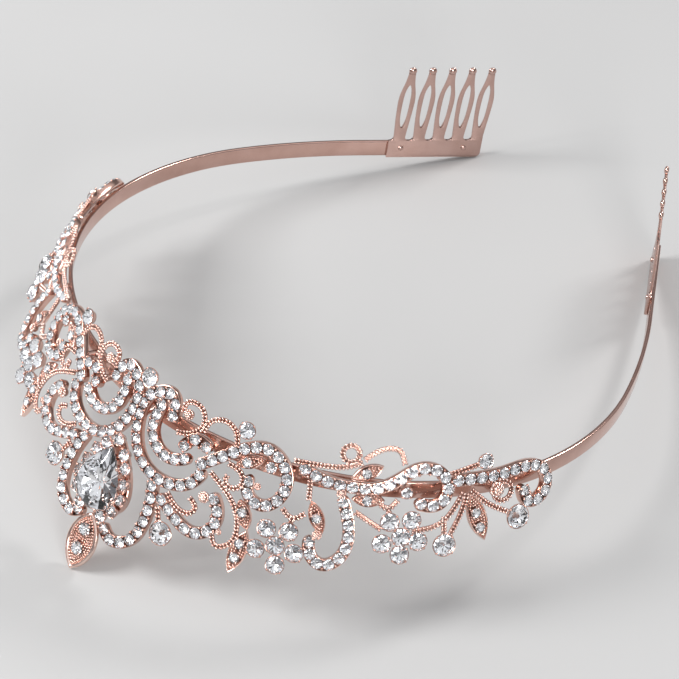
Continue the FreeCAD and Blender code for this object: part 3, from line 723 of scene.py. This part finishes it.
def add_leaf(shape, stalk, tip, width, stone, spots):
    """A leaf plate: a polished rim, a sunk bed with rows of beads, and claws for its stones."""
    start, end = on_ornament(*stalk), on_ornament(*tip)
    along = unit(end - start)
    out = axes_at((stalk[0] + tip[0]) / 2, (stalk[1] + tip[1]) / 2)[2]
    across = unit(np.cross(along, out))
    out = np.cross(across, along)
    length = dist(start, end)

    def place(flat, proud):
        return start + across * flat[0] + along * flat[1] + out * proud

    rim = RIM_SHARE * width
    # how far in from the outline, and how proud
    levels = [
        (0.12, -0.75), (0.0, -0.6), (0.0, 0.15), (0.3 * rim, 0.42), (rim / 2, 0.47), (0.7 * rim, 0.42),
        (rim, 0.15), (rim + 0.05, -0.1), (rim + 0.1, -0.12),
    ]
    points = [
        place(lens_point(length, width, inset, k / LEAF_CORNERS), proud)
        for inset, proud in levels for k in range(LEAF_CORNERS)
    ]
    shape.add(points, ring_faces(len(levels), LEAF_CORNERS))
    # the sunk bed inside the rim takes the darker rose gold, painted shade in the hollow
    shape.tints[-1] = PAINTED_SHADE

    seats = [on_ornament(s, t) for s, t in spots]
    for inset in np.arange(rim + BED_RIM_GAP, width / 2 - BED_MIDDLE, BED_PITCH):
        low, high = (lens_point(length, width, inset, share) for share in (0.0, 0.5))
        steps = round(BED_FILL * dist(low, high) / BED_PITCH)
        for k in range(steps):
            spot = place(lens_point(length, width, inset, k / steps), BED_PROUD)
            if all(dist(spot, seat) > stone / 2 for seat in seats):
                shape.stamp(BEAD, spot, np.eye(3), BED_BEAD)
    for seat in seats:
        for turn in corner_turns(LEAF_CLAWS):
            beside = turned(across, along, turn)[0] * stone * CLAW_SHARE
            shape.stamp(BEAD, seat + beside + out * CLAW_PROUD, np.eye(3), CLAW)


def leaf_shapes(leaves, stone):
    """The plates of some leaves, and their stones of one diameter."""
    plates, stones = Shape(), Shape()
    for stalk, tip, width, spots in leaves:
        add_leaf(plates, stalk, tip, width, stone, spots)
        for s, t in spots:
            set_stone(stones, SHALLOW_STONE, s, t, stone, LEAF_SEAT)
    return plates, stones


def make_leaves():
    """Side leaves and the centre leaf with their stones."""
    plates, stones = leaf_shapes(LEAVES, LEAF_STONE)
    both("leaves", plates, [LEAF_METAL, PAINTED_SHADE_METAL])
    both("leaf_crystals", stones, STONE_MATERIALS, flat=True)
    plates, stones = leaf_shapes([CENTRE_LEAF], CENTRE_LEAF_STONE)
    piece("centre_leaf", plates, [LEAF_METAL, PAINTED_SHADE_METAL])
    piece("centre_leaf_crystals", stones, STONE_MATERIALS, flat=True)


def cup_profile(radius):
    """A bowl with a thin rim, wide enough inside for the back of its stone."""
    return [
        (0, -CUP_DEPTH), (0.62 * radius, -CUP_DEPTH), (0.7 * radius, 0.08 - CUP_DEPTH),
        (0.95 * radius, -0.1), (radius, 0.1), (radius, 0.34), (0.97 * radius, 0.4),
        (0.92 * radius, 0.36), (0.9 * radius, 0.1), (0.6 * radius, -0.7 * CUP_DEPTH), (0, -0.8 * CUP_DEPTH),
    ]


CUP_SIDES, CUP_SEAT, STONE_SHARE = 28, 0.34, 0.93
CUP_CLAWS, CUP_CLAW, CUP_CLAW_SHARE, CUP_CLAW_RISE = 4, 0.3, 0.95, 0.12


def add_cup(cups, stones, origin, axes, diameter, claw=CUP_CLAW):
    """A turned cup, the stone in it and the claws bent over the stone's edge."""
    radius = diameter / 2
    cups.stamp(lathe(cup_profile(radius), CUP_SIDES), origin, axes)
    stones.stamp(ROUND_STONE, origin + axes[2] * CUP_SEAT, twisted(axes), STONE_SHARE * radius)
    for turn in corner_turns(CUP_CLAWS):
        away = CUP_CLAW_SHARE * radius
        offset = np.array([cos(turn) * away, sin(turn) * away, CUP_SEAT + CUP_CLAW_RISE])
        cups.stamp(BEAD, origin + offset @ axes, axes, claw)


def make_cups():
    """Flowers, drops and raised crowns: round stones, each in a cup of its own."""
    for name, sets in ROUNDS.items():
        cups, stones = Shape(), Shape()
        for diameter, places in sets:
            for s, t in places:
                add_cup(cups, stones, on_ornament(s, t), axes_at(s, t), diameter)
        both(f"{name}_cups", cups, [CAST_METAL])
        both(f"{name}_crystals", stones, STONE_MATERIALS, flat=True)
    cups, stones = Shape(), Shape()
    s, t, diameter = CENTRE_CROWN
    add_cup(cups, stones, on_ornament(s, t), axes_at(s, t), diameter)
    piece("centre_crown_cup", cups, [CAST_METAL])
    piece("centre_crown_crystal", stones, STONE_MATERIALS, flat=True)


def pear_point(width, length, share):
    """A point of a pear outline, point up; share runs from the point once round to the right."""
    turn = 2 * pi * (share % 1)
    return np.array([PEAR_WIDEST * width * sin(turn) * sin(turn / 2), length / 2 * cos(turn)])


PEAR_CORNERS = 64


def add_pear_wall(shape, levels):
    """A closed pear-shaped body whose skin passes through levels of (extra width, height)."""
    axes, centre = axes_at(0, PEAR_PLACE), on_ornament(0, PEAR_PLACE)
    points = []
    for extra, proud in levels:
        for k in range(PEAR_CORNERS):
            across, up = pear_point(PEAR_WIDTH + extra, PEAR_LENGTH + extra, -k / PEAR_CORNERS)
            points.append(centre + np.array([across, up, proud]) @ axes)
    shape.add(points, ring_faces(len(levels), PEAR_CORNERS))


# extra width and height of the dish under the halo, and of the collar round the pear
PLATE_EDGE, COLLAR_EDGE, HALO_FLOOR = 2 * HALO_BORDER, -2 * COLLAR_INSET, HALO_FRONT - CUP_DEPTH
PLATE_LEVELS = [
    (PLATE_EDGE - 0.3, BAR_BACK), (PLATE_EDGE, BAR_BACK + 0.2), (PLATE_EDGE, HALO_FLOOR - 0.1),
    (PLATE_EDGE - 0.2, HALO_FLOOR), (COLLAR_EDGE + 1.0, HALO_FLOOR), (COLLAR_EDGE + 0.8, BAR_BACK + 0.5),
]
COLLAR_LEVELS = [
    (COLLAR_EDGE + 0.6, BAR_BACK + 0.6), (COLLAR_EDGE + 0.6, HALO_FLOOR + 0.8),
    (COLLAR_EDGE, PEAR_FRONT - 0.9), (COLLAR_EDGE + 0.5, PEAR_FRONT - 0.1),
    (COLLAR_EDGE, PEAR_FRONT - 0.05), (COLLAR_EDGE - 0.8, PEAR_FRONT - 1.0),
    (COLLAR_EDGE - 5.0, PEAR_FRONT - 2.7), (COLLAR_EDGE - 9.0, PEAR_FRONT - 3.6),
]
# where the pear's claws stand, as shares of the way round from its point
PEAR_CLAWS = (0.0, 0.17, 0.32, 0.45, 0.55, 0.68, 0.83)
PEAR_CLAW, PEAR_CLAW_INSET, PEAR_CLAW_PROUD, PEAR_CLAW_STRETCH = 0.42, 0.1, 0.3, (1, 1, 1.3)
PEAR_CULET, PEAR_DEPTH = -1.6, 2.9
PEAR_GEM = cut_stone(crown=1.0, pavilion=1.0, table=0.46, star=0.74, belt=0.12, inner=0.36, sink=0.74)
HALO_CUP, HALO_CLAW = 3.1, 0.34


def make_pear():
    """The pear crystal in its collar and the halo of small cups round it."""
    axes, centre = axes_at(0, PEAR_PLACE), on_ornament(0, PEAR_PLACE)
    setting, halo, gem = Shape(), Shape(), Shape()
    add_pear_wall(setting, PLATE_LEVELS)
    add_pear_wall(setting, COLLAR_LEVELS)
    for share in PEAR_CLAWS:
        across, up = pear_point(PEAR_WIDTH - PEAR_CLAW_INSET, PEAR_LENGTH - PEAR_CLAW_INSET, share)
        spot = centre + np.array([across, up, PEAR_FRONT + PEAR_CLAW_PROUD]) @ axes
        setting.stamp(FINE_BEAD, spot, axes * PEAR_CLAW_STRETCH, PEAR_CLAW)
    for s, t in HALO + [(-s, t) for s, t in HALO if s > 0]:
        offset = on_ornament(s, t) - centre
        offset -= axes[2] * (offset @ axes[2])
        add_cup(setting, halo, centre + offset + axes[2] * HALO_FRONT, axes, HALO_CUP, HALO_CLAW)
    for x, y, z in PEAR_GEM.points:
        edge = pear_point(PEAR_WIDTH, PEAR_LENGTH, -np.arctan2(y, x) / (2 * pi))
        across, up = (0.0, PEAR_CULET) + (edge - (0.0, PEAR_CULET)) * hypot(x, y)
        height = z * PEAR_CROWN if z > 0 else z * PEAR_DEPTH
        gem.points.append(centre + np.array([across, up, PEAR_FRONT + height]) @ axes)
    gem.faces, gem.tints = PEAR_GEM.faces, PEAR_GEM.tints
    piece("halo_crystals", halo, STONE_MATERIALS, flat=True)
    piece("pear_setting", setting, [CAST_METAL])
    piece("pear_crystal", gem, STONE_MATERIALS, flat=True)


TAB_EDGE, TAB_BITE = 0.3, 0.3


def make_tabs():
    """Small solder blocks between the band and the castings."""
    shape = Shape()
    face = BAND_THICKNESS / 2
    for s, t in TABS:
        x, y, heading = band_frame(s)
        behind = on_ornament(s, t, BAR_BACK)
        middle = min(behind[2], BAND_HEIGHT - TAB_HEIGHT / 2)
        reach = hypot(behind[0] - x, behind[1] - y) - face
        right, outward = level_axes(heading)
        centres = [np.array([x, y, middle]) + outward * d for d in (face, face + reach + TAB_BITE)]
        profile = rounded_box(TAB_WIDTH / 2, -TAB_HEIGHT / 2, TAB_HEIGHT / 2, TAB_EDGE)
        shape.sweep(centres, [right] * 2, [UP] * 2, profile)
    both("solder_tabs", shape, [BAND_METAL])


def half_width(profile, height):
    """The half width of a tooth or slot at a height, smoothed between the profile's points."""
    widths, heights = smooth(profile).T
    return np.interp(height, heights, widths)


def comb_inward(height):
    """How far the comb's sheet bows in at a height."""
    share = max(0.0, (height - COMB_SPINE) / (COMB_HEIGHT - COMB_SPINE))
    return COMB_BOW * share**COMB_BOW_POWER


SHEET_EDGE, EDGE_LIMIT, NECK_OVERLAP = 0.16, 0.9, 0.2
CORNER_STEPS, ROOT_STEPS, LEG_STEPS, NECK_STEPS = 7, 6, 18, 5


def add_sheet(shape, place, edges):
    """A piece of sheet between its two edges, listed upwards as (left, right, height)."""
    rows = []
    for left, right, height in edges:
        half = (right - left) / 2
        section = rounded_box(half, 0.0, COMB_THICKNESS, min(SHEET_EDGE, EDGE_LIMIT * half), 2)
        rows.append([place((left + right) / 2 + a, height, b) for a, b in section])
    shape.add([point for row in rows for point in row], ring_faces(len(rows), len(rows[0])))


def spine_edges():
    """The comb's spine, its rear lower corner rounded."""
    edges = []
    for height in [*np.linspace(0, COMB_CORNER, CORNER_STEPS), COMB_SPINE]:
        above = max(0.0, COMB_CORNER - height)
        inset = COMB_CORNER - sqrt(COMB_CORNER**2 - above**2)
        edges.append((0.0, COMB_LENGTH - inset, height))
    return edges


def foot_edges(middle):
    """A tooth's foot, which widens at its root so that the gaps between teeth end in half rounds."""
    half_gap = COMB_PITCH / 2 - half_width(TOOTH, COMB_SPINE)
    root = COMB_SPINE + half_gap * (1 - np.cos(np.linspace(0, pi / 2, ROOT_STEPS)))
    edges = []
    for height in [*root, (root[-1] + SLOT[0][1]) / 2, SLOT[0][1]]:
        half = half_width(TOOTH, height)
        above = max(0.0, 1 - (height - COMB_SPINE) / half_gap)
        flare = half_gap * (1 - sqrt(1 - above**2))
        left = max(middle - half - flare, min(0.0, middle - half))
        right = min(middle + half + flare, max(COMB_LENGTH, middle + half))
        edges.append((left, right, height))
    return edges


def leg_edges(middle, side):
    """One of the two legs beside a tooth's slot."""
    edges = []
    for height in np.linspace(SLOT[0][1], SLOT[-1][1], LEG_STEPS):
        limits = [middle + side * half_width(profile, height) for profile in (TOOTH, SLOT)]
        edges.append((min(limits), max(limits), height))
    return edges


def neck_edges(middle):
    """The top of a tooth, between its slot and its ball."""
    heights = np.linspace(SLOT[-1][1], TOOTH[-1][1] + NECK_OVERLAP, NECK_STEPS)
    return [(middle - half_width(TOOTH, h), middle + half_width(TOOTH, h), h) for h in heights]


NUB_PROFILE = [(0, 0), (0.75, 0), (0.7, 0.16), (0.52, 0.32), (0.28, 0.39), (0, 0.4)]
NUB_SIDES = 20


def make_comb():
    """A flat sheet comb of hairpin teeth that end in flattened balls, and its weld nubs."""
    right, outward = level_axes(band_frame(HALF_LENGTH)[2])
    origin = band_point(HALF_LENGTH - COMB_LENGTH, -BAND_THICKNESS / 2, 0)

    def place(along, height, depth):
        return origin + right * along - outward * (depth + comb_inward(height)) + (0, 0, height)

    shape = Shape()
    add_sheet(shape, place, spine_edges())
    ball_axes = np.array([right * COMB_BALL, outward * COMB_BALL_THICKNESS, UP * COMB_BALL]) / 2
    for tooth in range(COMB_TEETH):
        middle = COMB_LENGTH - TOOTH_MARGIN - tooth * COMB_PITCH
        for edges in (foot_edges(middle), leg_edges(middle, 1), leg_edges(middle, -1), neck_edges(middle)):
            add_sheet(shape, place, edges)
        shape.stamp(FINE_BEAD, place(middle, COMB_HEIGHT, COMB_THICKNESS / 2), ball_axes)
    both("comb", shape, [COMB_METAL])

    nubs = Shape()
    template = lathe(NUB_PROFILE, NUB_SIDES)
    axes = np.array([right, UP, -outward])
    for side in (1, -1):
        for share in NUB_SHARES:
            centre = place(share * COMB_LENGTH, NUB_RISE, COMB_THICKNESS)
            nubs.stamp(template, centre * (side, 1, 1), axes * (side, 1, 1))
    piece("weld_nubs", nubs, [COMB_METAL])


make_headband()
make_scrolls()
make_wires()
make_leaves()
make_cups()
make_pear()
make_tabs()
make_comb()

# --- studio, in metres ------------------------------------------------------------------------------

FLOOR_HALF, FLOOR_TONE_SCALE, FLOOR_ROUGHNESS = 2.5, 6.0, 0.55


def make_floor():
    """A plain pale floor."""
    made, tree, shader = material("pale_floor")
    vary(tree, shader, "Base Color", FLOOR_TONE_SCALE, (0.385, 0.38, 0.375), (0.41, 0.405, 0.40))
    shader.inputs["Roughness"].default_value = FLOOR_ROUGHNESS
    mesh = bpy.data.meshes.new("floor")
    corners = [(x * FLOOR_HALF, y * FLOOR_HALF, 0) for x, y in ((-1, -1), (1, -1), (1, 1), (-1, 1))]
    mesh.from_pydata(corners, [], [(0, 1, 2, 3)])
    mesh.materials.append(made)
    floor = bpy.data.objects.new("floor", mesh)
    bpy.context.scene.collection.objects.link(floor)


# name, position, size and power in watts
LIGHTS = [
    ("key", (-0.5, -0.45, 0.55), 0.32, 7.5),
    ("fill", (0.75, -0.45, 0.35), 0.25, 4.0),
    ("rim", (0.15, 0.7, 0.6), 0.2, 4.0),
]


def make_light(name, position, size, power):
    """A square soft light that faces the middle of the tiara."""
    data = bpy.data.lights.new(name, "AREA")
    data.size = size
    data.energy = power
    lamp = bpy.data.objects.new(name, data)
    lamp.location = position
    lamp.rotation_euler = (-lamp.location).to_track_quat("-Z", "Y").to_euler()
    bpy.context.scene.collection.objects.link(lamp)


SKY_LOW, SKY_HIGH, SKY_STRENGTH = (0.16, 0.16, 0.17), (0.95, 0.97, 1.0), 0.9


def make_world():
    """Surroundings that brighten from the horizon up to the sky."""
    world = bpy.data.worlds.new("studio")
    world.use_nodes = True
    tree = world.node_tree
    coordinates = tree.nodes.new("ShaderNodeTexCoord")
    split = tree.nodes.new("ShaderNodeSeparateXYZ")
    tree.links.new(coordinates.outputs["Generated"], split.inputs["Vector"])
    sky = ramp(tree, split.outputs["Z"], SKY_LOW, SKY_HIGH)
    tree.links.new(sky, tree.nodes["Background"].inputs["Color"])
    tree.nodes["Background"].inputs["Strength"].default_value = SKY_STRENGTH
    bpy.context.scene.world = world


CAMERA_AZIMUTH, CAMERA_ELEVATION, CAMERA_ROLL = radians(44.26), radians(44.16), radians(-0.36)
CAMERA_LENS = 127.9
# millimetres from the point that BACK and LIFT place
CAMERA_X, CAMERA_Y, CAMERA_Z = 298.37, -391.23, 425.59


def make_camera():
    """The camera in front, to the right and above, looking down at the tiara."""
    right, level = level_axes(CAMERA_AZIMUTH)
    back = level * cos(CAMERA_ELEVATION) + UP * sin(CAMERA_ELEVATION)
    right, up = turned(right, np.cross(back, right), CAMERA_ROLL)
    data = bpy.data.cameras.new("camera")
    data.lens = CAMERA_LENS
    camera = bpy.data.objects.new("camera", data)
    matrix = np.eye(4)
    matrix[:3, 0], matrix[:3, 1], matrix[:3, 2] = right, up, back
    matrix[:3, 3] = np.array([CAMERA_X, CAMERA_Y + BACK, CAMERA_Z + LIFT]) * MM
    camera.matrix_world = Matrix(matrix.tolist())
    bpy.context.scene.collection.objects.link(camera)
    bpy.context.scene.camera = camera


make_floor()
make_world()
for light in LIGHTS:
    make_light(*light)
bpy.context.scene.view_settings.view_transform = "Standard"
make_camera()
